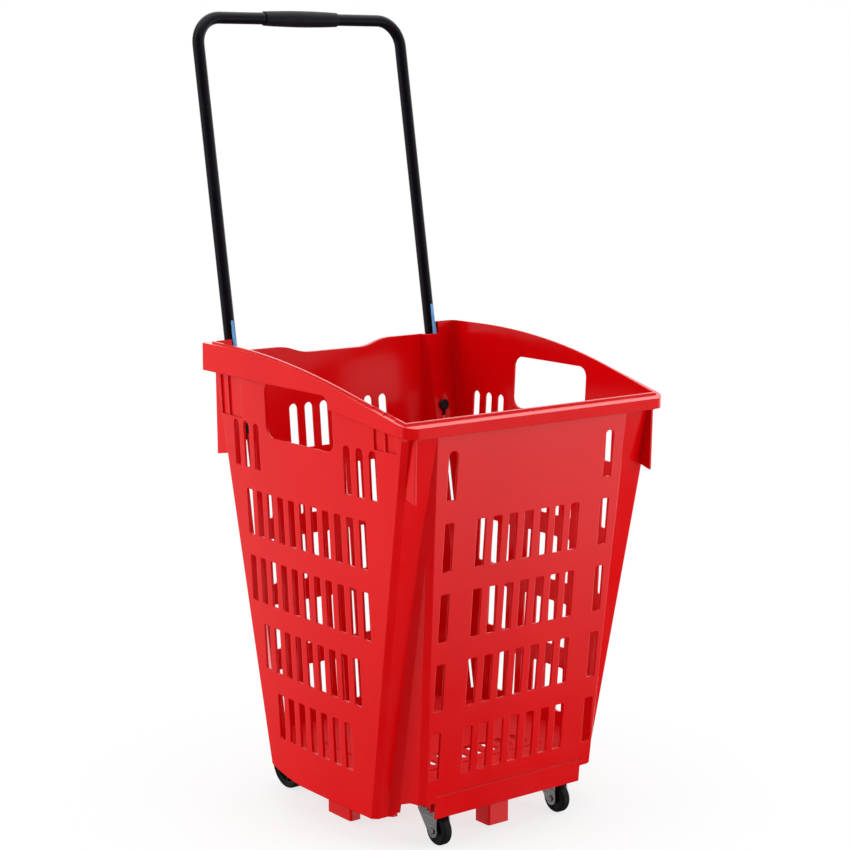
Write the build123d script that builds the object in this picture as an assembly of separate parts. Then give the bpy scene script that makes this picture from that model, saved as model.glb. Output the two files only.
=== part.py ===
from build123d import *
import os
from math import acos, atan, atan2, cos, degrees, hypot, radians, sin, sqrt

# Rolling basket trolley: a moulded basket on two swivel casters and two fixed
# wheels, with a tubular pull handle that slides down behind the basket.
# Millimetres, +Z up, +X to the user's right, +Y towards the person pulling.
# z = 0 is the floor. y = 0 is first the middle of the basket; every part is
# moved by CENTRE_SHIFT at the end, so that the whole trolley is centred.

os.makedirs("parts", exist_ok=True)

# ---------------------------------------------------------------- basket walls
WALL = 3.0
SIDE_FOOT, SIDE_DRAFT = 178.4, 0.051        # half width at the floor, and its growth per mm of height
SIDE_BOW, BOW_REACH = 1.9e-4, 260.0         # the sides curve in by SIDE_BOW * y**2, drawn out to BOW_REACH
END_FOOT, END_DRAFT = 159.6, 0.094          # half depth at the floor, and its growth per mm of height
SKIRT_LOW = 42.0                            # lower edge of the walls
FLOOR_TOP, FLOOR_THICK = 75.5, 3.0
FLOOR_PAD_X, FLOOR_PAD_Y, FLOOR_PAD_TOP = 114.0, 92.0, 76.3     # the raised middle of the floor
PLINTH_HALF = 117.5                         # half length of the plinth under the end walls
FOOT_LOW, FOOT_ROUND, SHROUD_LOW = 5.5, 3.5, 47.5
WALL_TOP = 620.0                            # the walls run up to here before the rim line trims them

# ------------------------------------------------------------------------- rim
RIM_SIDE, RIM_FRONT, RIM_REAR = 211.5, 224.5, 217.5
RIM_SIDE_FRONT, RIM_SIDE_REAR = 206.5, 210.0            # the sides bow in to these at their ends
RIM_FRONT_CORNER, RIM_REAR_CORNER = 22.0, 7.0
RIM_THICK, RIM_BEAD = 3.0, 2.0
RIM_HIGH, RIM_FRONT_TOP = 602.0, 545.0
CURVE_START, CURVE_END = 150.0, -110.0      # the rim falls between these two y positions
RIM_SLOPE = 0.235
SKIRT_HIGH, SKIRT_START, SKIRT_END, SKIRT_SLOPE = 566.5, 130.0, 0.0, 0.12
BACK_RIM, BACK_DIP, DIP_FLAT, DIP_WIDE = 587.0, 10.0, 38.0, 96.0
BACK_RIM_HALF = 170.0                       # the high side rims end here on the back wall

# ----------------------------------------------------------------------- slots
SLOT_PITCH, SLOT_WIDTH, SLOT_TALL, SLOT_ROUND = 24.76, 13.6, 60.3, 2.2
SLOT_TOP, ROW_PITCH = 509.5, 88.4
SIDE_ROWS = (5, 5, 4, 3)                    # slots on each side of the middle one, from the top row down
HANDHOLD_HALF, HANDHOLD_LOW, HANDHOLD_ROUND = 73.5, 496.0, 14.0
RECESS_LOW, RECESS_HIGH, RECESS_DEEP = 512.0, 575.0, 2.2
RECESSES = ((-193.0, -174.0), (-171.0, -153.0), (133.0, 164.0), (167.0, 184.0))

DRAIN_WIDE, DRAIN_LONG, DRAIN_ROW = 12.0, 34.0, -62.0

# -------------------------------------------------------------- corner columns
FRONT_COLUMN, FRONT_LEAN = 112.0, 0.184     # half depth of the column face at the floor, and its growth
FRONT_CHAMFER, REAR_CHAMFER = 6.0, 4.0
STEP_EDGE, STEP_LEAN = 131.0, 0.035         # where the end wall stops beside a column
COLUMN_MERGE = 528.0                        # the front columns run out into the end wall here
SPLIT_Z = 382.0                             # below this height a steep panel divides the column's flank
FLANK_GROW = 0.006                          # the flank's inner part grows by this per mm below SPLIT_Z
CHANNEL_X, CHANNEL_FLANK = 154.0, 0.35      # inner edge of a handle channel, and the slope of its flank
FIN_X, FIN_THICK, FIN_LOW, FIN_REACH = 186.5, 3.0, 453.0, 216.5

# ---------------------------------------------------------------- pull handle
TUBE_R, TUBE_BORE_R = 8.0, 6.8
LEG_X, LEG_FOOT, LEG_LEAN = 165.0, 110.0, 0.1753
BAR_Z, BEND_R = 1020.0, 36.0
LEG_END_Z = 474.0
GRIP_HALF, GRIP_END_R, GRIP_MID_R = 58.5, 9.6, 11.0
CHANNEL_GAP = 1.0                           # between a leg and the channel that it runs in
KNOB_R, KNOB_Z, KNOB_NECK_R, KNOB_THICK = 7.5, 486.0, 2.5, 4.0
PLUG_LONG = 8.0
STRIP_HALF, STRIP_TIP, STRIP_LONG, STRIP_TAPER = 2.6, 0.9, 40.0, 1.0
GUIDE_Z, GUIDE_THICK, BLIND_HOLE = 545.0, 2.2, 2.3
SCREW_R, SCREW_HOLE_R = 1.5, 1.53
TRAVEL_SLOT_HALF, TRAVEL_LOW = 3.0, 92.0

# -------------------------------------------------------------- front casters
CASTER_X, CASTER_Y, TRAIL = 97.0, -128.0, 17.0
FRONT_R, FRONT_HALF, FRONT_ROUND = 19.75, 7.0, 4.5
RIVET_R, AXLE_PLAY = 2.5, 0.05
FORK_IN, FORK_THICK, FORK_END_R = 9.4, 1.6, 9.0
CROWN_LOW, CROWN_HIGH = 44.4, 46.4
PLATE_LOW, PLATE_HIGH = 50.0, 52.0
RACE_LOW = 46.8
KINGPIN_R = 4.0
FRONT_TYRE_IN = 14.0

# ---------------------------------------------------------------- rear wheels
REAR_R, REAR_HALF, REAR_X, REAR_Y = 32.0, 10.0, 123.0, 145.0
AXLE_R, AXLE_END = 4.0, 138.5
REAR_TYRE_IN, CAP_LONG = 26.5, 6.0
BRACKET_X, BRACKET_HALF, BRACKET_THICK, FLANGE_WIDE = 109.5, 9.0, 2.5, 20.0


def side_half(z):
    return SIDE_FOOT + SIDE_DRAFT * z


def end_half(z):
    return END_FOOT + END_DRAFT * z


def leg_y(z):
    return LEG_FOOT + LEG_LEAN * z


def front_column(z):
    return FRONT_COLUMN + FRONT_LEAN * z


def rear_column(z):
    return leg_y(z) - TUBE_R - CHANNEL_GAP


LEG_LENGTH = sqrt(1 + LEG_LEAN**2)
GRIP_BACK = leg_y(BAR_Z) + GRIP_MID_R
CENTRE_SHIFT = (RIM_FRONT - GRIP_BACK) / 2
FLOOR_LOW = FLOOR_TOP - FLOOR_THICK


def side_at(z, y):
    return side_half(z) - SIDE_BOW * y**2


def outline(points, z):
    return Plane.XY.offset(z) * make_face(Polyline(*points, close=True))


def side_plan(z, inset):
    """Plan of the block between the bowed side walls at one height, far too long in Y."""
    middle = side_half(z) - inset
    end = middle - SIDE_BOW * BOW_REACH**2
    return Plane.XY.offset(z) * make_face(Wire([
        Line((-end, -BOW_REACH), (end, -BOW_REACH)),
        ThreePointArc((end, -BOW_REACH), (middle, 0), (end, BOW_REACH)),
        Line((end, BOW_REACH), (-end, BOW_REACH)),
        ThreePointArc((-end, BOW_REACH), (-middle, 0), (-end, -BOW_REACH)),
    ]))


def frustum(inset, low, high):
    """The tapered block inside the four walls, moved in by inset."""
    between_sides = loft([side_plan(z, inset) for z in (low, high)], ruled=True)
    near, far = end_half(low) - inset, end_half(high) - inset
    ring = [(-near, low), (near, low), (far, high), (-far, high)]
    between_ends = extrude(Plane.YZ * make_face(Polyline(*ring, close=True)), BOW_REACH, both=True)
    return between_sides & between_ends


def front_notch(z, grow):
    """Plan of a front corner notch at one height: flank, column face, chamfer."""
    slant = grow * sqrt(2)
    deep = front_column(z) - grow
    step_x = STEP_EDGE + STEP_LEAN * z - slant
    depth = end_half(z) - deep
    start = (step_x - 8, end_half(z) + 8)
    if z >= SPLIT_Z:
        return [start, (step_x + depth, deep)] + notch_side(z, deep, slant + FRONT_CHAMFER)
    half_step = (end_half(SPLIT_Z) - front_column(SPLIT_Z)) / 2
    inner_x = STEP_EDGE + STEP_LEAN * SPLIT_Z + 2 * half_step
    flank = half_step + FLANK_GROW * (SPLIT_Z - z)
    return [
        start,
        (step_x + half_step + slant - grow, end_half(z) - half_step - grow),
        (inner_x - flank - grow, deep + flank),
        (inner_x - grow, deep),
    ] + notch_side(z, deep, slant + FRONT_CHAMFER)


def rear_notch(z, grow):
    """Plan of a rear corner notch, the channel that a handle leg runs in."""
    deep = rear_column(z) - grow
    outer_y = end_half(z) + 8
    start_x = CHANNEL_X - grow - CHANNEL_FLANK * (outer_y - deep)
    side = notch_side(z, deep, grow * sqrt(2) + REAR_CHAMFER)
    return [(start_x, outer_y), (CHANNEL_X - grow, deep)] + side


def notch_side(z, deep, back_off):
    """The last points of a notch: a 45 degree chamfer that starts back_off short of the side."""
    far = side_half(z) + 8
    chamfer_x = side_at(z, deep) - back_off
    return [(chamfer_x, deep), (far, deep - (far - chamfer_x)), (far, end_half(z) + 8)]


def front_corner_cut(grow):
    """All that is taken off one front corner, drawn in the +X +Y quarter."""
    low, under = 20.0, SPLIT_Z - 0.001
    upper = loft([outline(front_notch(z, grow), z) for z in (SPLIT_Z, COLUMN_MERGE)], ruled=True)
    lower = loft([outline(front_notch(z, grow), z) for z in (low, under)], ruled=True)
    joint = extrude(outline(front_notch(under, grow), under), 0.2)
    return [upper, lower, joint]


def all_corners(grow):
    cuts = []
    rear = loft([outline(rear_notch(z, grow), z) for z in (20.0, WALL_TOP + 20)], ruled=True)
    for solid in [rear] + [cut.mirror(Plane.XZ) for cut in front_corner_cut(grow)]:
        cuts += [solid, solid.mirror(Plane.YZ)]
    return cuts


def box(x0, x1, y0, y1, z0, z1):
    solid = Box(x1 - x0, y1 - y0, z1 - z0)
    return solid.moved(Location(((x0 + x1) / 2, (y0 + y1) / 2, (z0 + z1) / 2)))


def falling_line(start, end, top, slope, last):
    """Points of a line that is flat, then falls along an arc to a slope, then runs straight."""
    radius = (start - end) / slope
    points = [(260.0, top)]
    for step in range(13):
        y = start + (end - start) * step / 12
        points.append((y, top - (start - y) ** 2 / (2 * radius)))
    drop = (start - end) ** 2 / (2 * radius)
    points.append((last, top - drop - slope * (end - last)))
    return points


def under_line(points):
    """The block below a line in the YZ plane, across the whole width."""
    ring = points + [(points[-1][0], 0), (points[0][0], 0)]
    face = Plane.YZ.offset(-260) * make_face(Polyline(*ring, close=True))
    return extrude(face, 520)


def rim_top(raise_by):
    line = falling_line(CURVE_START, CURVE_END, RIM_HIGH, RIM_SLOPE, -223.0)
    line = [(y, z + raise_by) for y, z in line]
    line.append((-260.0, line[-1][1]))
    return under_line(line)


def skirt_bottom():
    line = falling_line(SKIRT_START, SKIRT_END, SKIRT_HIGH, SKIRT_SLOPE, -223.0)
    line.append((-260.0, line[-1][1]))
    return under_line(line)


def back_cut(raise_by):
    """What the low back rim takes away between the two high side rims."""
    top, dip = BACK_RIM + raise_by, BACK_RIM + raise_by - BACK_DIP
    edge, ease = BACK_RIM_HALF, (DIP_WIDE + DIP_FLAT) / 2
    over = [(DIP_WIDE, top), (edge, top), (edge + 3, 650), (-edge - 3, 650), (-edge, top), (-DIP_WIDE, top)]
    lines = [
        Bezier((-DIP_WIDE, top), (-ease, top), (-ease, dip), (-DIP_FLAT, dip)),
        Line((-DIP_FLAT, dip), (DIP_FLAT, dip)),
        Bezier((DIP_FLAT, dip), (ease, dip), (ease, top), (DIP_WIDE, top)),
    ]
    lines += [Line(start, end) for start, end in zip(over, over[1:])]
    return extrude(Plane.XZ.offset(-240) * make_face(Wire(lines)), 60)


def rim_plan(inset):
    """Plan of the rim: bowed sides, wide front corners and tight rear ones."""
    front, rear = RIM_FRONT - inset, RIM_REAR - inset
    side_front, side_rear = RIM_SIDE_FRONT - inset, RIM_SIDE_REAR - inset
    front_r, rear_r = RIM_FRONT_CORNER - inset, RIM_REAR_CORNER - inset
    short = 1 - cos(radians(45))
    half = make_face(Wire([
        Line((0, -front), (side_front - front_r, -front)),
        ThreePointArc(
            (side_front - front_r, -front),
            (side_front - front_r * short, -front + front_r * short),
            (side_front, -front + front_r),
        ),
        ThreePointArc((side_front, -front + front_r), (RIM_SIDE - inset, 0), (side_rear, rear - rear_r)),
        ThreePointArc(
            (side_rear, rear - rear_r),
            (side_rear - rear_r * short, rear - rear_r * short),
            (side_rear - rear_r, rear),
        ),
        Line((side_rear - rear_r, rear), (0, rear)),
        Line((0, rear), (0, -front)),
    ]))
    return half + half.mirror(Plane.YZ)


def make_rim(cavity):
    low, high = 500.0, WALL_TOP
    outer = extrude(Plane.XY.offset(low) * rim_plan(0), high - low)
    inner = extrude(Plane.XY.offset(low) * rim_plan(RIM_THICK), high - low)
    top_block, skirt_block = rim_top(0), skirt_bottom()
    lid = (outer & top_block) - rim_top(-RIM_THICK)
    skirt = ((outer - inner) & top_block) - skirt_block
    leg_gap = []
    for side in (-1, 1):
        face = Plane.XY * Pos(side * LEG_X, leg_y(590) + 14) * Rectangle(2 * TUBE_R + 6, 46)
        leg_gap.append(extrude(Plane.XY.offset(500) * face, 120))
    return (lid + skirt) - back_cut(0) - cavity - leg_gap


def slot_outline(rounded):
    """A slot drawn round its own centre, with a round top or with four small corners."""
    if not rounded:
        return RectangleRounded(SLOT_WIDTH, SLOT_TALL, SLOT_ROUND)
    half = SLOT_WIDTH / 2
    body = Pos(0, -half / 2) * Rectangle(SLOT_WIDTH, SLOT_TALL - half)
    return body + Pos(0, SLOT_TALL / 2 - half) * Circle(half)


def slot_cut(axis, along, top, rounded, sign, base):
    """One slot through a wall: axis says which pair of walls, sign says which of the two."""
    reach = 30.0
    plane = Plane.YZ.offset(sign * base - reach) if axis == "x" else Plane.XZ.offset(-sign * base - reach)
    return extrude(plane * Pos(along, top - SLOT_TALL / 2) * slot_outline(rounded), 2 * reach)


def wall_slots():
    cuts = []
    for sign in (-1, 1):
        for k in (-6, -5, -4, 4, 5, 6):
            cuts.append(slot_cut("x", k * SLOT_PITCH, SLOT_TOP, True, sign, side_half(SLOT_TOP)))
        for row, count in enumerate(SIDE_ROWS, start=1):
            top = SLOT_TOP - row * ROW_PITCH
            for k in range(-count, count + 1):
                cuts.append(slot_cut("x", k * SLOT_PITCH, top, False, sign, side_half(top)))
        top_row = (-5, 5) if sign < 0 else range(-3, 4)
        for k in top_row:
            cuts.append(slot_cut("y", k * SLOT_PITCH, SLOT_TOP, True, sign, end_half(SLOT_TOP)))
        for row in range(1, 5):
            top = SLOT_TOP - row * ROW_PITCH
            for k in (-5, -3, -2, -1, 0, 1, 2, 3, 5):
                cuts.append(slot_cut("y", k * SLOT_PITCH, top, False, sign, end_half(top)))
    return cuts


def handholds():
    profile = Rectangle(2 * HANDHOLD_HALF, 70)
    profile = fillet(profile.vertices(), HANDHOLD_ROUND)
    face = Plane.YZ.offset(-240) * Pos(0, HANDHOLD_LOW + 35) * profile
    return extrude(face, 480)


def side_recesses():
    """Shallow sunk panels in the outside of both side walls, beside the handholds."""
    core = frustum(RECESS_DEEP, RECESS_LOW - 10, RECESS_HIGH + 10)
    return [box(-240, 240, y0, y1, RECESS_LOW, RECESS_HIGH) - core for y0, y1 in RECESSES]


def travel_slots():
    """The long slots that the stop knobs run in."""
    cuts = []
    for sign in (-1, 1):
        points = []
        for z, reach in ((TRAVEL_LOW, 0), (KNOB_Z + 6, 0)):
            points.append((leg_y(z) - 25, z))
        ring = points + [(leg_y(KNOB_Z + 6) + 2, KNOB_Z + 6), (leg_y(TRAVEL_LOW) + 2, TRAVEL_LOW)]
        face = Plane.YZ.offset(sign * LEG_X - TRAVEL_SLOT_HALF) * make_face(Polyline(*ring, close=True))
        cuts.append(extrude(face, 2 * TRAVEL_SLOT_HALF))
    return cuts


def fins():
    """Thin plates that hang from the rim at the corners and stop a nested basket."""
    solids = []
    for sign_x in (-1, 1):
        for sign_y, column_y in ((-1, front_column), (1, rear_column)):
            top_z = 532.0 if sign_y < 0 else 566.0
            ring = [
                (column_y(FIN_LOW) - 1, FIN_LOW + 6),
                (FIN_REACH - 2, FIN_LOW),
                (FIN_REACH, top_z),
                (column_y(top_z) - 1, top_z),
            ]
            ring = [(sign_y * y, z) for y, z in ring]
            face = Plane.YZ.offset(sign_x * FIN_X - FIN_THICK / 2) * make_face(Polyline(*ring, close=True))
            solids.append(extrude(face, FIN_THICK))
    return solids


def foot(x0, x1, y0, y1):
    """A hollow foot with round corners: the block, and what is taken out of it."""
    middle = Pos((x0 + x1) / 2, (y0 + y1) / 2)
    outer = RectangleRounded(x1 - x0, y1 - y0, FOOT_ROUND)
    inner = RectangleRounded(x1 - x0 - 2 * WALL, y1 - y0 - 2 * WALL, FOOT_ROUND - 2)
    block = extrude(Plane.XY.offset(FOOT_LOW) * middle * outer, FLOOR_LOW + 1 - FOOT_LOW)
    hollow = extrude(Plane.XY.offset(FOOT_LOW - 2) * middle * inner, FLOOR_LOW - FOOT_LOW - 2)
    return block, hollow


def shroud(side, grow):
    """Plan of the sunk skirt round a caster, grown outwards from its inner face."""
    ring = [
        (73 - grow, -150.5 - grow),
        (137 + grow * 0.7, -150.5 - grow),
        (144 + grow, -130.5 - grow * 0.3),
        (144 + grow, -106 + grow),
        (73 - grow, -106 + grow),
    ]
    face = Plane.XY.offset(SHROUD_LOW) * make_face(Polyline(*[(side * x, y) for x, y in ring], close=True))
    return extrude(face, FLOOR_LOW + 1 - SHROUD_LOW, dir=(0, 0, 1))


def base_parts():
    """Floor pad, plinth groove, feet, and the pads and shrouds over the casters."""
    adds, cuts = [box(-FLOOR_PAD_X, FLOOR_PAD_X, -FLOOR_PAD_Y, FLOOR_PAD_Y, FLOOR_LOW, FLOOR_PAD_TOP)], []
    feet = [foot(-17, 17, -144.5, -116), foot(-17, 17, 110, 140)]
    for side in (-1, 1):
        y0, y1 = sorted((side * (end_half(FLOOR_LOW) - 0.8), side * (end_half(FLOOR_LOW) + 1)))
        cuts.append(box(-PLINTH_HALF, PLINTH_HALF, y0, y1, FLOOR_LOW - 0.6, FLOOR_LOW + 0.6))
        x0, x1 = sorted((side * 130.0, side * 147.5))
        feet.append(foot(x0, x1, -25.5, 25.5))
        adds.append(box(side * CASTER_X - 25, side * CASTER_X + 25, CASTER_Y - 22, CASTER_Y + 22,
                        PLATE_HIGH, FLOOR_LOW + 1))
        cuts.append(box(side * CASTER_X - 12, side * CASTER_X + 12, CASTER_Y - 19, CASTER_Y + 19,
                        PLATE_HIGH - 5, FLOOR_LOW - 4))
        adds.append(shroud(side, WALL) - shroud(side, 0))
    adds += [block for block, hollow in feet]
    cuts += [hollow for block, hollow in feet]
    return adds, cuts


def corner_arches():
    """The openings over the casters and the rear wheels, and the rising lower edge of the sides."""
    cuts = []
    low, ridge = 30, SHROUD_LOW + 16.5
    arch = [(PLINTH_HALF, low), (PLINTH_HALF, ridge - 2), (PLINTH_HALF + 2, ridge), (144, ridge),
            (148, ridge - 4), (148, SKIRT_LOW + 7), (155, SKIRT_LOW), (155, low)]
    rise = [(40, low), (40, SKIRT_LOW), (68, 45), (87, 48.5), (101, 52), (112, 57), (130, 59), (130, low)]
    for side in (-1, 1):
        ring = [(side * x, z) for x, z in arch]
        face = Plane.XZ.offset(125) * make_face(Polyline(*ring, close=True))
        cuts.append(extrude(face, 75, dir=(0, -1, 0)))
        x0, x1 = sorted((side * 107.0, side * 151.0))
        cuts.append(box(x0, x1, 100, 200, low, 71))
        face = Plane.YZ.offset(side * 175 - 27) * make_face(Polyline(*rise, close=True))
        cuts.append(extrude(face, 54))
    return cuts


def drain_holes():
    """One row of holes across the front part of the floor."""
    cuts = []
    for k in range(-4, 5):
        hole = Pos(k * SLOT_PITCH, DRAIN_ROW) * RectangleRounded(DRAIN_WIDE, DRAIN_LONG, SLOT_ROUND)
        cuts.append(extrude(Plane.XY.offset(FLOOR_LOW - 5) * hole, 20))
    return cuts


def make_basket():
    cavity = frustum(WALL, FLOOR_TOP, WALL_TOP + 15) - all_corners(WALL)
    hollow_base = frustum(WALL, SKIRT_LOW - 20, FLOOR_LOW) - all_corners(WALL)
    block = frustum(0, SKIRT_LOW, WALL_TOP) - all_corners(0)
    shell = (block & rim_top(RIM_BEAD)) - back_cut(0) - cavity - hollow_base - side_recesses()
    adds, cuts = base_parts()
    shell = shell.fuse(*adds, *[fin - cavity for fin in fins()], make_rim(cavity))
    cuts += wall_slots() + travel_slots() + corner_arches() + drain_holes()
    return shell - cuts - handholds()


LEAN = degrees(atan(LEG_LEAN))
WALL_DEPTH = (TUBE_R + CHANNEL_GAP) / LEG_LENGTH        # from the leg axis to the channel floor
WALL_BACK = (TUBE_R + CHANNEL_GAP + WALL) / LEG_LENGTH  # from the leg axis to the far side of that wall


def on_leg(side, z):
    """A frame on a leg axis: local Z up along the leg, local -Y towards the basket."""
    return Pos(side * LEG_X, leg_y(z), z) * Rot(-LEAN, 0, 0)


def button(radius, thick, edge):
    """A disc standing on z = 0 with a rounded upper edge."""
    disc = Pos(0, 0, thick / 2) * Cylinder(radius, thick)
    return fillet(disc.faces().sort_by(Axis.Z)[-1].edges(), edge)


def knob_bore(side):
    return on_leg(side, KNOB_Z) * Rot(90, 0, 0) * Pos(0, 0, TUBE_R) * Cylinder(KNOB_NECK_R, TUBE_R)


def make_pull_bar():
    """One tube: up the left leg, across the top and down the right leg."""
    leg_run = (BAR_Z - LEG_END_Z) * LEG_LENGTH
    straight = leg_run - BEND_R
    top = leg_run
    frame = Plane(origin=(0, leg_y(LEG_END_Z), LEG_END_Z), x_dir=(1, 0, 0), z_dir=(0, -1, LEG_LEAN))
    near = LEG_X - BEND_R
    off = BEND_R * (1 - cos(radians(45)))
    path = Wire([
        Line((-LEG_X, 0), (-LEG_X, straight)),
        ThreePointArc((-LEG_X, straight), (-LEG_X + off, top - off), (-near, top)),
        Line((-near, top), (near, top)),
        ThreePointArc((near, top), (LEG_X - off, top - off), (LEG_X, straight)),
        Line((LEG_X, straight), (LEG_X, 0)),
    ])
    path = frame * path
    start = Plane(origin=path @ 0, z_dir=path % 0)
    ring = start * (Circle(TUBE_R) - Circle(TUBE_BORE_R))
    tube = sweep(ring, path)
    return tube - [knob_bore(side) for side in (-1, 1)]


def make_grip():
    """A barrel sleeve with a flat moulding on its front and small end beads."""
    bulge = ThreePointArc((-GRIP_HALF, GRIP_END_R), (0, GRIP_MID_R), (GRIP_HALF, GRIP_END_R))
    lines = [
        bulge,
        Line((GRIP_HALF, GRIP_END_R), (GRIP_HALF, TUBE_R)),
        Line((GRIP_HALF, TUBE_R), (-GRIP_HALF, TUBE_R)),
        Line((-GRIP_HALF, TUBE_R), (-GRIP_HALF, GRIP_END_R)),
    ]
    sleeve = revolve(make_face(Wire(lines)), Axis.X)
    return sleeve.moved(Location((0, leg_y(BAR_Z), BAR_Z)))


def make_knob(side):
    """A stop knob inside the basket, its neck through the slot into the leg."""
    face = WALL_BACK + 0.6
    disc = Pos(0, 0, face) * button(KNOB_R, KNOB_THICK, 1.2)
    bump = Pos(-side * 2.2, 2.2, face + KNOB_THICK) * Cylinder(2.4, 1.6)
    neck_low = TUBE_BORE_R - 0.6
    neck = Pos(0, 0, (neck_low + face) / 2) * Cylinder(KNOB_NECK_R, face - neck_low)
    return on_leg(side, KNOB_Z) * Rot(90, 0, 0) * (disc + bump + neck)


def make_plug(side):
    """A push-in cap for the open end of a leg."""
    stem = Pos(0, 0, PLUG_LONG / 2) * Cylinder(TUBE_BORE_R, PLUG_LONG)
    head = Rot(180, 0, 0) * button(TUBE_R, 3.0, 1.2)
    return on_leg(side, LEG_END_Z) * (stem + head)


def make_strip(side):
    """A thin glide tongue that stands on the wall's top edge in front of a leg."""
    near, far = TUBE_R + STRIP_TIP, WALL_BACK - STRIP_TIP
    side_view = [(-far, -5), (-near, -5), (-near, STRIP_LONG), (-near - STRIP_TIP, STRIP_LONG), (-far, 8)]
    tip = STRIP_HALF - STRIP_TAPER
    front_view = [(-STRIP_HALF, -5), (STRIP_HALF, -5), (tip, STRIP_LONG), (-tip, STRIP_LONG)]
    tongue = extrude(Plane.YZ * make_face(Polyline(*side_view, close=True)), STRIP_HALF, both=True)
    taper = extrude(Plane.XZ * make_face(Polyline(*front_view, close=True)), 20, both=True)
    placed = on_leg(side, BACK_RIM) * (tongue & taper)
    return placed - box(-240, 240, 0, 300, BACK_RIM - 20, BACK_RIM)


def guide_screw_places(side):
    for along in (-7.0, 7.0):
        yield on_leg(side, GUIDE_Z) * Pos(side * 15.0, -WALL_DEPTH, along) * Rot(-90, 0, 0)


def make_guide(side):
    """A strap round a leg, its outer foot screwed to the channel floor."""
    inner, outer = TUBE_R + 0.5, TUBE_R + 0.5 + GUIDE_THICK
    loop = Circle(outer) + Pos(0, -WALL_DEPTH / 2) * Rectangle(2 * outer, WALL_DEPTH)
    foot = Pos(side * 14.0, -WALL_DEPTH + GUIDE_THICK / 2) * Rectangle(12.0, GUIDE_THICK)
    hole = Circle(inner) + Pos(0, -10) * Rectangle(2 * inner, 20)
    window = Rectangle(60, 40)
    window = Pos(0, 20 - WALL_DEPTH) * window
    plan = ((loop + foot) - hole) & window
    solid = extrude(plan, 12.0, both=True)
    placed = on_leg(side, GUIDE_Z) * solid
    holes = [place * Cylinder(SCREW_HOLE_R, 20) for place in guide_screw_places(side)]
    return placed - holes


def pan_screw(shank_r, shank, head_r, head):
    """Local Z points out of the head; z = 0 is under the head."""
    top = button(head_r, head, head * 0.45)
    drive = Pos(0, 0, head) * (Box(head_r, 0.7, 1.2) + Box(0.7, head_r, 1.2))
    return (top - drive) + Pos(0, 0, -shank / 2) * Cylinder(shank_r, shank)


def make_guide_screws():
    screws = []
    for side in (-1, 1):
        for place in guide_screw_places(side):
            screw = pan_screw(SCREW_R, GUIDE_THICK + BLIND_HOLE, 3.0, 1.8)
            screws.append(place * Pos(0, 0, GUIDE_THICK) * screw)
    return Compound(children=screws)


def make_bracket(side):
    """An angle under the floor: the web carries the axle, the flange is screwed up."""
    web = Pos(side * BRACKET_X, REAR_Y, (REAR_R + FLOOR_LOW) / 2) * Box(
        BRACKET_THICK, 2 * BRACKET_HALF, FLOOR_LOW - REAR_R
    )
    eye = Pos(side * BRACKET_X, REAR_Y, REAR_R) * Rot(0, 90, 0) * Cylinder(BRACKET_HALF, BRACKET_THICK)
    flange_mid = side * (BRACKET_X + BRACKET_THICK / 2 - FLANGE_WIDE / 2)
    flange = Pos(flange_mid, REAR_Y, FLOOR_LOW - BRACKET_THICK / 2) * Box(
        FLANGE_WIDE, 2 * BRACKET_HALF, BRACKET_THICK
    )
    bore = Pos(side * BRACKET_X, REAR_Y, REAR_R) * Rot(0, 90, 0) * Cylinder(AXLE_R, 3 * BRACKET_THICK)
    holes = [place * Cylinder(SCREW_HOLE_R, 20) for place in bracket_screw_places(side)]
    return (web + eye + flange) - bore - holes


def bracket_screw_places(side):
    x = side * (BRACKET_X - FLANGE_WIDE * 0.6)
    for y in (-5.0, 5.0):
        yield Pos(x, REAR_Y + y, FLOOR_LOW - BRACKET_THICK) * Rot(180, 0, 0)


def make_bracket_screws():
    screws = []
    for side in (-1, 1):
        for place in bracket_screw_places(side):
            screws.append(place * pan_screw(SCREW_R, BRACKET_THICK + 2.6, 2.8, 1.8))
    return Compound(children=screws)


def wheel_ring(outer_r, inner_r, half, edge):
    """A tyre about the X axis, with rounded shoulders."""
    ring = Cylinder(outer_r, 2 * half) - Cylinder(inner_r, 3 * half)
    rims = [e for e in ring.edges().filter_by(GeomType.CIRCLE) if e.radius > outer_r - 0.1]
    return Rot(0, 90, 0) * fillet(rims, edge)


def make_rear_hub(side):
    """A dished disc with spokes: rim ring, web and long boss."""
    rim = Cylinder(REAR_TYRE_IN, 2 * REAR_HALF - 2) - Cylinder(REAR_TYRE_IN - 3.5, 2 * REAR_HALF)
    web = Cylinder(REAR_TYRE_IN - 2, 5)
    boss = Cylinder(9.0, 2 * REAR_HALF + 2)
    ribs = [Rot(0, 0, 60 * k) * Pos(15, 0, 0) * Box(22, 2.4, 2 * REAR_HALF - 5) for k in range(6)]
    holes = [Rot(0, 0, 60 * k + 30) * Pos(17, 0, 0) * Cylinder(3.6, 30) for k in range(6)]
    hub = (rim + web + boss + ribs) - holes - Cylinder(AXLE_R + AXLE_PLAY, 60)
    return Pos(side * REAR_X, REAR_Y, REAR_R) * Rot(0, 90, 0) * hub


def make_rear_tyre(side):
    tyre = wheel_ring(REAR_R, REAR_TYRE_IN, REAR_HALF, 3.0)
    return Pos(side * REAR_X, REAR_Y, REAR_R) * tyre


def make_axle_cap(side):
    cap = button(7.5, CAP_LONG, 1.8) - Pos(0, 0, (CAP_LONG - 2) / 2) * Cylinder(AXLE_R, CAP_LONG - 2)
    cap_start = AXLE_END - (CAP_LONG - 2)
    return Pos(side * cap_start, REAR_Y, REAR_R) * Rot(0, side * 90, 0) * cap


def make_axle():
    return Pos(0, REAR_Y, REAR_R) * Rot(0, 90, 0) * Cylinder(AXLE_R, 2 * AXLE_END)


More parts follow.
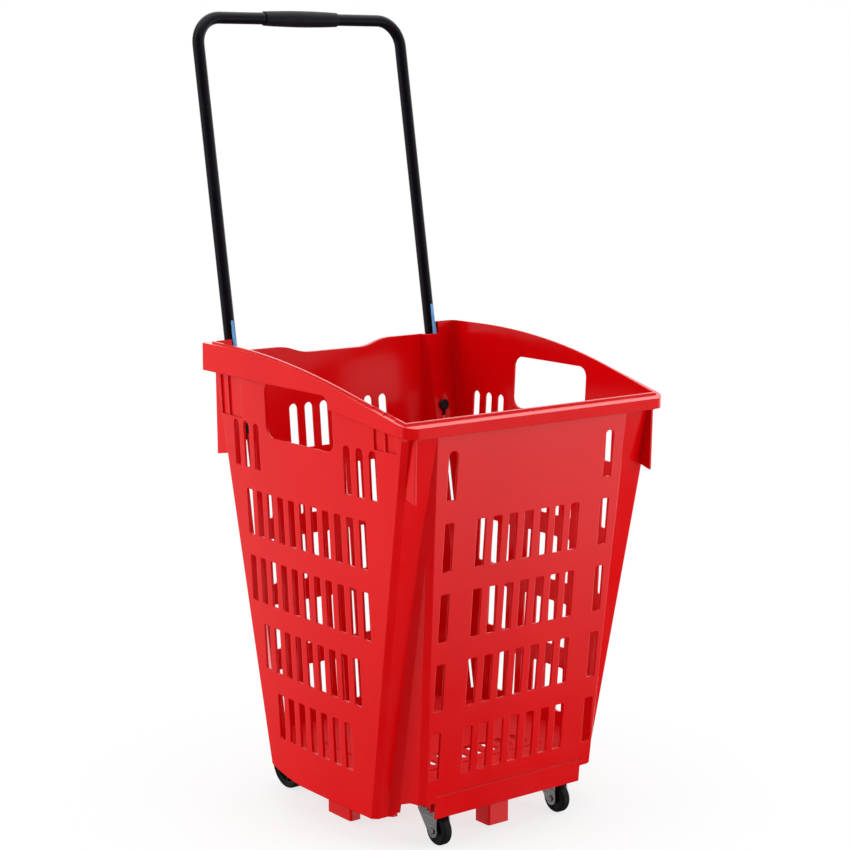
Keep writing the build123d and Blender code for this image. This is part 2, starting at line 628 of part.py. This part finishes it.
def caster_screw_places(side):
    for dx in (-16.0, 16.0):
        for dy in (-16.0, 16.0):
            yield Pos(side * CASTER_X + dx, CASTER_Y + dy, PLATE_LOW) * Rot(180, 0, 0)


def make_caster_plate(side):
    """The fixed top plate with the race of the swivel pressed into it."""
    plate = extrude(Plane.XY.offset(PLATE_LOW) * RectangleRounded(42, 42, 4), PLATE_HIGH - PLATE_LOW)
    race = Pos(0, 0, PLATE_LOW) * Rot(180, 0, 0) * button(13.0, PLATE_LOW - RACE_LOW, 1.2)
    solid = Pos(side * CASTER_X, CASTER_Y, 0) * (plate + race)
    holes = [place * Cylinder(SCREW_HOLE_R, 20) for place in caster_screw_places(side)]
    return solid - holes - Pos(side * CASTER_X, CASTER_Y, 50) * Cylinder(KINGPIN_R, 20)


def make_caster_screws():
    screws = []
    for side in (-1, 1):
        for place in caster_screw_places(side):
            screws.append(place * pan_screw(SCREW_R, 14.0, 3.2, 1.8))
    return Compound(children=screws)


def make_kingpin(side):
    low, high = CROWN_LOW - 0.35, PLATE_HIGH
    shank = Pos(0, 0, (low + high) / 2) * Cylinder(KINGPIN_R, high - low)
    head = Pos(0, 0, low) * Rot(180, 0, 0) * button(7.0, 2.6, 1.2)
    nut = Pos(0, 0, high) * extrude(RegularPolygon(7.0, 6), 3.2)
    return Pos(side * CASTER_X, CASTER_Y, 0) * (shank + head + nut)


def make_fork(side):
    """Two legs that lean forward from a round crown to the wheel's axle."""
    wheel_y, wheel_z = -TRAIL, FRONT_R
    back_y, back_z = 12.0, CROWN_LOW - 3
    reach_y, reach_z = back_y - wheel_y, back_z - wheel_z
    bearing = atan2(reach_z, reach_y) - acos(FORK_END_R / hypot(reach_y, reach_z))
    touch = (wheel_y + FORK_END_R * cos(bearing), wheel_z + FORK_END_R * sin(bearing))
    ring = [
        (wheel_y - FORK_END_R, wheel_z),
        (wheel_y - FORK_END_R + 3, CROWN_HIGH),
        (back_y, CROWN_HIGH),
        (back_y, back_z),
        touch,
        (wheel_y, wheel_z),
    ]
    side_view = make_face(Polyline(*ring, close=True)) + Pos(wheel_y, wheel_z) * Circle(FORK_END_R)
    out = FORK_IN + FORK_THICK
    block = extrude(Plane.YZ.offset(-out) * side_view, 2 * out)
    room = Pos(0, 0, CROWN_LOW - 50) * Box(2 * FORK_IN, 120, 100)
    cup = Pos(0, 0, (CROWN_LOW + CROWN_HIGH) / 2) * Cylinder(13.5, CROWN_HIGH - CROWN_LOW)
    bore = Pos(0, 0, 45) * Cylinder(KINGPIN_R + AXLE_PLAY, 20)
    axle = Pos(0, wheel_y, wheel_z) * Rot(0, 90, 0) * Cylinder(RIVET_R, 60)
    return Pos(side * CASTER_X, CASTER_Y, 0) * ((block - room) + cup - bore - axle)


def make_rivet(side):
    out = FORK_IN + FORK_THICK
    pin = Cylinder(RIVET_R, 2 * out)
    heads = [Rot(0, turn, 0) * Pos(0, 0, out) * button(4.2, 1.8, 0.8) for turn in (0, 180)]
    return Pos(side * CASTER_X, CASTER_Y - TRAIL, FRONT_R) * Rot(0, 90, 0) * (pin + heads)


def make_front_hub(side):
    rim = Cylinder(FRONT_TYRE_IN, 2 * FRONT_HALF - 2)
    boss = Cylinder(5.0, 2 * FORK_IN - 1.2)
    dish = Cylinder(FRONT_TYRE_IN - 2, 2.6) - Cylinder(5.0, 3)
    dishes = [Pos(0, 0, end * (FRONT_HALF - 1)) * dish for end in (-1, 1)]
    hub = (rim - dishes) + boss - Cylinder(RIVET_R + AXLE_PLAY, 60)
    return Pos(side * CASTER_X, CASTER_Y - TRAIL, FRONT_R) * Rot(0, 90, 0) * hub


def make_front_tyre(side):
    tyre = wheel_ring(FRONT_R, FRONT_TYRE_IN, FRONT_HALF, FRONT_ROUND)
    return Pos(side * CASTER_X, CASTER_Y - TRAIL, FRONT_R) * tyre


def basket_holes():
    cuts = []
    for side in (-1, 1):
        cuts += [place * Cylinder(SCREW_HOLE_R, 2 * BLIND_HOLE) for place in guide_screw_places(side)]
        cuts += [place * Cylinder(SCREW_HOLE_R, 2 * (FLOOR_TOP - FLOOR_LOW + BRACKET_THICK) + 4)
                 for place in bracket_screw_places(side)]
        cuts += [place * Cylinder(SCREW_HOLE_R, 2 * 14.0 + 1) for place in caster_screw_places(side)]
    return cuts


def write(name, shape):
    placed = shape.moved(Location((0, CENTRE_SHIFT, 0)))
    export_step(placed, f"parts/{name}.step")


write("basket_body", make_basket() - basket_holes())
write("pull_bar", make_pull_bar())
write("handle_grip", make_grip())
write("guide_screws", make_guide_screws())
write("rear_axle", make_axle())
write("bracket_screws", make_bracket_screws())
write("caster_screws", make_caster_screws())
PAIRED = {
    "stop_knob": make_knob,
    "leg_plug": make_plug,
    "glide_strip": make_strip,
    "leg_guide": make_guide,
    "axle_bracket": make_bracket,
    "axle_cap": make_axle_cap,
    "rear_hub": make_rear_hub,
    "rear_tyre": make_rear_tyre,
    "caster_plate": make_caster_plate,
    "kingpin": make_kingpin,
    "caster_fork": make_fork,
    "caster_rivet": make_rivet,
    "caster_hub": make_front_hub,
    "caster_tyre": make_front_tyre,
}
for kind, make in PAIRED.items():
    for label, side in (("left", -1), ("right", 1)):
        write(f"{kind}_{label}", make(side))
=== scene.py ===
import math

import bpy
from mathutils import Euler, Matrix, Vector

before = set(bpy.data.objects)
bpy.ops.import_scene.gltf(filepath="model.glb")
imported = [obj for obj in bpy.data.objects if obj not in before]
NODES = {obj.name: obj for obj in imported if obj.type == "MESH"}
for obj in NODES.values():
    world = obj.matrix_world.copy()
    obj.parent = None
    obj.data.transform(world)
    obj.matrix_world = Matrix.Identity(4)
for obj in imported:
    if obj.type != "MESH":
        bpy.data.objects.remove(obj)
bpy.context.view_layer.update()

# A red rolling basket trolley in a white studio. Metres, in the shared frame:
# +Z up, the front panel towards -Y, the pull handle at the back.

# Camera of the main view: its place, its direction in degrees, its lens and sensor in millimetres.
CAMERA_PLACE = (-1.597, -2.110, 0.941)
CAMERA_AZIMUTH, CAMERA_ELEVATION = -37.48, 9.56
SENSOR, LENS = 36.0, 87.17

# ------------------------------------------------------------- colours and surfaces
# The second red is a paler red, painted in patches along the basket's edges as a highlight.
BASKET_RED, BASKET_PAINTED_HIGHLIGHT = (0.69, 0.0010, 0.0028), (0.74, 0.03, 0.025)
BAR_BLACK, BAR_SCRATCHED = (0.0030, 0.0022, 0.0045), (0.03, 0.03, 0.035)
STRIP_BLUE = (0.13, 0.36, 0.70)
ZINC = (0.56, 0.56, 0.58)
# Second shades, as shares of the first; the last is a paler black painted along edges as a highlight.
RED_DEEP, ZINC_DULL, BLUE_PALE, BLACK_PAINTED_HIGHLIGHT = 0.93, 0.62, 1.18, 2.2

# The black plastics and rubbers: colour, colour of the paler clouds, range of the
# roughness, grains in a metre, and depth of the grain.
BLACKS = {
    "moulded_black": ((0.004, 0.004, 0.005), (0.009, 0.009, 0.010), (0.30, 0.45), 1400.0, 0.0001),
    "hub_black": ((0.005, 0.005, 0.006), (0.011, 0.011, 0.012), (0.28, 0.42), 1400.0, 0.0001),
    "tyre_rubber": ((0.0035, 0.0032, 0.0038), (0.009, 0.009, 0.010), (0.45, 0.62), 900.0, 0.0002),
    "grip_rubber": ((0.0045, 0.0030, 0.0055), (0.010, 0.008, 0.011), (0.42, 0.55), 1100.0, 0.0002),
}
# Radius that each material's edges are rounded with in shading, which for the black ones is also the
# reach of their painted edge highlight, and the reach of the basket's painted edge highlight.
BASKET_EDGE, BLACK_EDGE, ZINC_EDGE, STRIP_EDGE = 0.0016, 0.0006, 0.0005, 0.0006
HIGHLIGHT_REACH = 0.0012

# Noise features in a metre. A stretch below 1 draws them out along that axis.
FLOW_MARKS, FLOW_STRETCH = 7.0, (1.0, 1.0, 0.25)
SCUFFS, SCUFF_STRETCH = 220.0, (1.0, 1.0, 0.12)
SCRATCHES, SCRATCH_STRETCH = 380.0, (1.0, 1.0, 0.04)
BRUSH_LINES, BRUSH_STRETCH = 260.0, (1.0, 0.06, 1.0)
# The first of these sets the size of the patches of painted highlight along the basket's edges.
HIGHLIGHT_PATCHES, BASKET_HAZE, BASKET_GRAIN, BASKET_WAVES = 60.0, 18.0, 1500.0, 26.0
BAR_HAZE, BAR_GRAIN = 30.0, 900.0
BLACK_CLOUDS, BLACK_HAZE = 45.0, 90.0
ZINC_HAZE = 120.0
STRIP_CLOUDS, STRIP_HAZE, STRIP_GRAIN = 70.0, 150.0, 800.0
NOISE_MIDDLE, NOISE_CORE = (0.3, 0.7), (0.35, 0.65)     # where most values of a noise lie

# The basket's floor inside is scuffed dull: level faces (cosines) at this height.
LEVEL_FACES, FLOOR_HEIGHTS, FLOOR_DULLER = (0.7, 0.9), (0.08, 0.09), 0.5

# --------------------------------------------------------------------------- studio
FLOOR_SIZE, FLOOR_CLOUDS = 30.0, 3.0
FLOOR_GREYS = ((0.82, 0.82, 0.82), (0.84, 0.84, 0.84))
FLOOR_FADE, FLOOR_GLOW = (0.12, 0.50), (0.72, 1.0)      # the glow's share grows over these distances

# Softboxes that point at the middle: place, width, height and watts.
MIDDLE = (0.0, 0.0, 0.5)
SOFTBOXES = {
    "left_box": ((-2.5, 0.9, 1.3), 2.0, 2.4, 52.0),
    "front_box": ((1.3, -2.7, 1.2), 2.0, 2.2, 45.0),
    "top_box": ((0.2, 0.2, 3.2), 2.4, 2.4, 36.0),
}

# The studio is white all round, but black cloth hangs behind the main camera: it
# begins and is complete at these cosines of the angle from the camera's side.
STUDIO_WHITE = 1.0
REFLECTED_WHITE, SOFT_SHARE = 1.7, 0.44     # in reflections, and the share of it in soft light
CLOTH_EDGES, CLOTH_LEVEL = (0.45, 0.72), 0.02
# Below the horizon the white fades between these two heights of the unit direction.
LOW_EDGES, LOW_LEVEL = (-0.44, -0.29), 0.05
# Two grey screens of one level and softness: a tall one behind on the left, and one
# in front on the right that ends just below the horizon.
REAR_SCREEN, FRONT_SCREEN = (-0.60, 0.80, 0.0), (0.63, -0.77, 0.0)
SCREEN_EDGES, SCREEN_LEVEL = (0.55, 0.85), 0.30
FRONT_SCREEN_FOOT = (-0.26, -0.18)


# --------------------------------------------------------------------- node helpers
def new_material(name):
    material = bpy.data.materials.new(name)
    material.use_nodes = True
    tree = material.node_tree
    return material, tree, tree.nodes["Principled BSDF"]


def place_coordinates(tree):
    """Object coordinates, so that grain and marks have real sizes in metres."""
    return tree.nodes.new("ShaderNodeTexCoord").outputs["Object"]


def noise(tree, per_metre, detail, stretch=None, roughness=0.5):
    texture = tree.nodes.new("ShaderNodeTexNoise")
    texture.inputs["Scale"].default_value = per_metre
    texture.inputs["Detail"].default_value = detail
    texture.inputs["Roughness"].default_value = roughness
    place = place_coordinates(tree)
    if stretch:
        mapping = tree.nodes.new("ShaderNodeMapping")
        mapping.inputs["Scale"].default_value = stretch
        tree.links.new(place, mapping.inputs["Vector"])
        place = mapping.outputs["Vector"]
    tree.links.new(place, texture.inputs["Vector"])
    return texture.outputs["Fac"]


def remap(tree, value, span, to_span):
    """A value taken from one span to another, and held within the second."""
    node = tree.nodes.new("ShaderNodeMapRange")
    for socket, number in zip(("From Min", "From Max", "To Min", "To Max"), (*span, *to_span)):
        node.inputs[socket].default_value = number
    tree.links.new(value, node.inputs["Value"])
    return node.outputs["Result"]


def haze(tree, per_metre, detail, to_span):
    """Cloudy noise between the two ends of to_span."""
    return remap(tree, noise(tree, per_metre, detail), NOISE_MIDDLE, to_span)


def math_node(tree, operation, first, second):
    node = tree.nodes.new("ShaderNodeMath")
    node.operation = operation
    for socket, value in zip(node.inputs, (first, second)):
        if isinstance(value, (int, float)):
            socket.default_value = value
        else:
            tree.links.new(value, socket)
    return node.outputs["Value"]


def add(tree, first, second):
    return math_node(tree, "ADD", first, second)


def multiply(tree, first, second):
    return math_node(tree, "MULTIPLY", first, second)


def dot_product(tree, vector, direction):
    """The dot product of a vector socket with another socket or a fixed direction."""
    dot = tree.nodes.new("ShaderNodeVectorMath")
    dot.operation = "DOT_PRODUCT"
    tree.links.new(vector, dot.inputs[0])
    if isinstance(direction, tuple):
        dot.inputs[1].default_value = direction
    else:
        tree.links.new(direction, dot.inputs[1])
    return dot.outputs["Value"]


def height_of(tree, vector):
    split = tree.nodes.new("ShaderNodeSeparateXYZ")
    tree.links.new(vector, split.inputs[0])
    return split.outputs["Z"]


def shade(colour, share):
    return tuple(min(1.0, channel * share) for channel in colour)


def colour_mix(tree, factor, first, second):
    """A Mix node's colour sockets, which sit behind its float and vector ones."""
    node = tree.nodes.new("ShaderNodeMix")
    node.data_type = "RGBA"
    tree.links.new(factor, node.inputs[0])
    for socket, value in ((node.inputs[6], first), (node.inputs[7], second)):
        if isinstance(value, tuple):
            socket.default_value = (*value, 1.0)
        else:
            tree.links.new(value, socket)
    return node.outputs[2]


def rounded_normal(tree, radius, samples):
    soft = tree.nodes.new("ShaderNodeBevel")
    soft.samples = samples
    soft.inputs["Radius"].default_value = radius
    return soft.outputs["Normal"]


def edge_mask(tree, radius, sharpness=6.0):
    """Grows from 0 on open faces towards 1 along edges and corners."""
    flat = tree.nodes.new("ShaderNodeNewGeometry").outputs["Normal"]
    dot = dot_product(tree, rounded_normal(tree, radius, samples=4), flat)
    return multiply(tree, math_node(tree, "SUBTRACT", 1.0, dot), sharpness)


def bump_from(tree, shader, height, distance, strength, round_edges=0.0):
    bump = tree.nodes.new("ShaderNodeBump")
    bump.inputs["Distance"].default_value = distance
    bump.inputs["Strength"].default_value = strength
    tree.links.new(height, bump.inputs["Height"])
    if round_edges:
        tree.links.new(rounded_normal(tree, round_edges, samples=6), bump.inputs["Normal"])
    tree.links.new(bump.outputs["Normal"], shader.inputs["Normal"])


def set_sockets(shader, **values):
    for name, value in values.items():
        shader.inputs[name.replace("_", " ")].default_value = value


# ------------------------------------------------------------------------ materials
def basket_plastic():
    """Glossy moulded polypropylene: flow marks, scuffs, patches of a paler red painted along the
    edges as a highlight, a dull floor inside.
    """
    material, tree, shader = new_material("basket_plastic")
    flow = remap(tree, noise(tree, FLOW_MARKS, 2.0, FLOW_STRETCH), NOISE_CORE, (0.0, 1.0))
    colour = colour_mix(tree, flow, shade(BASKET_RED, RED_DEEP), BASKET_RED)
    # A paler red is painted as a highlight along edges and corners, broken into patches.
    patches = remap(tree, noise(tree, HIGHLIGHT_PATCHES, 4.0), (0.55, 0.75), (0.0, 0.4))
    painted_highlight = multiply(tree, edge_mask(tree, HIGHLIGHT_REACH), patches)
    tree.links.new(colour_mix(tree, painted_highlight, colour, BASKET_PAINTED_HIGHLIGHT), shader.inputs["Base Color"])
    scuffs = noise(tree, SCUFFS, 6.0, SCUFF_STRETCH, roughness=0.7)
    scuffed = remap(tree, scuffs, (0.50, 0.80), (0.0, 0.07))
    rough = add(tree, scuffed, haze(tree, BASKET_HAZE, 4.0, (0.10, 0.17)))
    rough = add(tree, rough, multiply(tree, basket_floor_mask(tree), FLOOR_DULLER))
    tree.links.new(rough, shader.inputs["Roughness"])
    grain = multiply(tree, noise(tree, BASKET_GRAIN, 2.0), 0.06)
    height = add(tree, grain, noise(tree, BASKET_WAVES, 2.0))
    bump_from(tree, shader, height, 0.0003, 0.25, round_edges=BASKET_EDGE)
    set_sockets(shader, IOR=1.49, Specular_IOR_Level=0.36)
    return material


def basket_floor_mask(tree):
    """1 on the level faces at the bottom of the basket, 0 elsewhere."""
    normal = tree.nodes.new("ShaderNodeNewGeometry").outputs["True Normal"]
    level = remap(tree, height_of(tree, normal), LEVEL_FACES, (0.0, 1.0))
    low = remap(tree, height_of(tree, place_coordinates(tree)), FLOOR_HEIGHTS, (1.0, 0.0))
    return multiply(tree, level, low)


def bar_coating():
    """Satin black powder coat: orange peel, hairline scratches along the tube."""
    material, tree, shader = new_material("bar_coating")
    scratches = noise(tree, SCRATCHES, 5.0, SCRATCH_STRETCH, roughness=0.65)
    fine = remap(tree, scratches, (0.62, 0.74), (0.0, 0.35))
    tree.links.new(colour_mix(tree, fine, BAR_BLACK, BAR_SCRATCHED), shader.inputs["Base Color"])
    tree.links.new(haze(tree, BAR_HAZE, 4.0, (0.27, 0.40)), shader.inputs["Roughness"])
    bump_from(tree, shader, noise(tree, BAR_GRAIN, 2.0), 0.0002, 0.25)
    set_sockets(shader, Specular_IOR_Level=0.22)
    return material


def black_surface(name):
    """A moulded or rubber surface: cloudy colour, uneven gloss, fine grain, a paler colour painted
    along the edges as a highlight.
    """
    base, light, roughness, grain, depth = BLACKS[name]
    material, tree, shader = new_material(name)
    clouds = remap(tree, noise(tree, BLACK_CLOUDS, 5.0), (0.35, 0.7), (0.0, 0.6))
    # A paler black is painted as a highlight along edges and corners.
    painted_highlight = multiply(tree, edge_mask(tree, BLACK_EDGE), 0.5)
    colour = colour_mix(tree, clouds, base, light)
    colour = colour_mix(tree, painted_highlight, colour, shade(light, BLACK_PAINTED_HIGHLIGHT))
    tree.links.new(colour, shader.inputs["Base Color"])
    tree.links.new(haze(tree, BLACK_HAZE, 4.0, roughness), shader.inputs["Roughness"])
    bump_from(tree, shader, noise(tree, grain, 3.0), depth, 0.4, round_edges=BLACK_EDGE)
    set_sockets(shader, Specular_IOR_Level=0.25)
    return material


def zinc_steel():
    """Zinc-plated pressed steel: brushed grain, cloudy gloss, darker marks."""
    material, tree, shader = new_material("zinc_steel")
    brushed = noise(tree, BRUSH_LINES, 5.0, BRUSH_STRETCH)
    lines = remap(tree, brushed, NOISE_CORE, (0.0, 1.0))
    tree.links.new(colour_mix(tree, lines, shade(ZINC, ZINC_DULL), ZINC), shader.inputs["Base Color"])
    tree.links.new(haze(tree, ZINC_HAZE, 5.0, (0.22, 0.42)), shader.inputs["Roughness"])
    bump_from(tree, shader, brushed, 0.0001, 0.35, round_edges=ZINC_EDGE)
    set_sockets(shader, Metallic=1.0)
    return material


def strip_plastic():
    """Milky light-blue nylon that lets a little light through."""
    material, tree, shader = new_material("strip_plastic")
    clouds = haze(tree, STRIP_CLOUDS, 3.0, (0.0, 1.0))
    colour = colour_mix(tree, clouds, STRIP_BLUE, shade(STRIP_BLUE, BLUE_PALE))
    tree.links.new(colour, shader.inputs["Base Color"])
    tree.links.new(haze(tree, STRIP_HAZE, 3.0, (0.3, 0.45)), shader.inputs["Roughness"])
    bump_from(tree, shader, noise(tree, STRIP_GRAIN, 2.0), 0.0001, 0.3, round_edges=STRIP_EDGE)
    set_sockets(shader, Subsurface_Weight=0.2, Subsurface_Scale=0.004)
    return material


def paint_nodes():
    """Each CAD node gets the material of its kind, and every other fitting is zinc."""
    black, hub, tyre, grip = (black_surface(name) for name in BLACKS)
    zinc = zinc_steel()
    by_kind = {
        "basket_body": basket_plastic(),
        "pull_bar": bar_coating(),
        "handle_grip": grip,
        "glide_strip": strip_plastic(),
        "rear_hub": hub,
        "caster_hub": hub,
        "rear_tyre": tyre,
        "caster_tyre": tyre,
        "stop_knob": black,
        "leg_plug": black,
        "leg_guide": black,
        "axle_cap": black,
    }
    for name, node in NODES.items():
        matches = [material for kind, material in by_kind.items() if name.startswith(kind)]
        node.data.materials.clear()
        node.data.materials.append(matches[0] if matches else zinc)


# ---------------------------------------------------------------- studio and camera
def make_floor():
    """A matt floor that turns into plain white light away from the trolley."""
    bpy.ops.mesh.primitive_plane_add(size=FLOOR_SIZE, location=(0.0, 0.0, 0.0))
    floor = bpy.context.object
    floor.name = "studio_floor"
    material, tree, shader = new_material("studio_floor")
    colour = colour_mix(tree, haze(tree, FLOOR_CLOUDS, 2.0, (0.0, 1.0)), *FLOOR_GREYS)
    tree.links.new(colour, shader.inputs["Base Color"])
    set_sockets(shader, Roughness=0.9, Specular_IOR_Level=0.1)
    distance = tree.nodes.new("ShaderNodeVectorMath")
    distance.operation = "LENGTH"
    tree.links.new(place_coordinates(tree), distance.inputs[0])
    glow = tree.nodes.new("ShaderNodeEmission")
    glow.inputs["Strength"].default_value = STUDIO_WHITE
    blend = tree.nodes.new("ShaderNodeMixShader")
    share = remap(tree, distance.outputs["Value"], FLOOR_FADE, FLOOR_GLOW)
    for output, socket in zip((share, shader.outputs[0], glow.outputs[0]), blend.inputs):
        tree.links.new(output, socket)
    tree.links.new(blend.outputs[0], tree.nodes["Material Output"].inputs["Surface"])
    floor.data.materials.append(material)
    floor.visible_glossy = False


def softbox(name, place, wide, high, watts):
    light = bpy.data.lights.new(name, "AREA")
    light.shape = "RECTANGLE"
    light.size = wide
    light.size_y = high
    light.energy = watts
    lamp = bpy.data.objects.new(name, light)
    bpy.context.scene.collection.objects.link(lamp)
    lamp.location = place
    lamp.rotation_euler = (Vector(MIDDLE) - lamp.location).to_track_quat("-Z", "Y").to_euler()
    lamp.visible_glossy = False


def screen(tree, direction, facing):
    """1 all round, but SCREEN_LEVEL where the soft-edged screen hangs."""
    return remap(tree, dot_product(tree, direction, facing), SCREEN_EDGES, (1.0, SCREEN_LEVEL))


def make_world():
    """White all round, but dark behind the main camera and fading towards the ground."""
    world = bpy.data.worlds.new("studio")
    bpy.context.scene.world = world
    world.use_nodes = True
    tree = world.node_tree
    direction = tree.nodes.new("ShaderNodeTexCoord").outputs["Generated"]
    height = height_of(tree, direction)
    azimuth = math.radians(CAMERA_AZIMUTH)
    camera_side = dot_product(tree, direction, (math.sin(azimuth), -math.cos(azimuth), 0.0))
    level = remap(tree, camera_side, CLOTH_EDGES, (REFLECTED_WHITE, CLOTH_LEVEL))
    below = remap(tree, height, LOW_EDGES, (LOW_LEVEL, 1.0))
    rear, front = (screen(tree, direction, facing) for facing in (REAR_SCREEN, FRONT_SCREEN))
    over = remap(tree, height, FRONT_SCREEN_FOOT, (0.0, 1.0))
    front = add(tree, 1.0, multiply(tree, math_node(tree, "SUBTRACT", front, 1.0), over))
    paths = tree.nodes.new("ShaderNodeLightPath")
    soft = remap(tree, paths.outputs["Is Diffuse Ray"], (0.0, 1.0), (1.0, SOFT_SHARE))
    for factor in (below, rear, front, soft):
        level = multiply(tree, level, factor)
    strength = tree.nodes.new("ShaderNodeMix")
    tree.links.new(paths.outputs["Is Camera Ray"], strength.inputs[0])
    tree.links.new(level, strength.inputs[2])
    strength.inputs[3].default_value = STUDIO_WHITE
    background = tree.nodes["Background"]
    tree.links.new(strength.outputs[0], background.inputs["Strength"])
    background.inputs["Color"].default_value = (1.0, 1.0, 1.0, 1.0)


def make_camera():
    data = bpy.data.cameras.new("main_camera")
    data.sensor_width = SENSOR
    data.lens = LENS
    camera = bpy.data.objects.new("main_camera", data)
    bpy.context.scene.collection.objects.link(camera)
    camera.location = CAMERA_PLACE
    tilt, turn = math.radians(90.0 - CAMERA_ELEVATION), math.radians(CAMERA_AZIMUTH)
    camera.rotation_euler = Euler((tilt, 0.0, turn))
    bpy.context.scene.camera = camera


def set_picture():
    settings = bpy.context.scene.view_settings
    settings.view_transform = "Standard"
    settings.look = "None"
    settings.exposure = 0.0


paint_nodes()
make_floor()
make_world()
for box_name, (place, wide, high, watts) in SOFTBOXES.items():
    softbox(box_name, place, wide, high, watts)
make_camera()
set_picture()
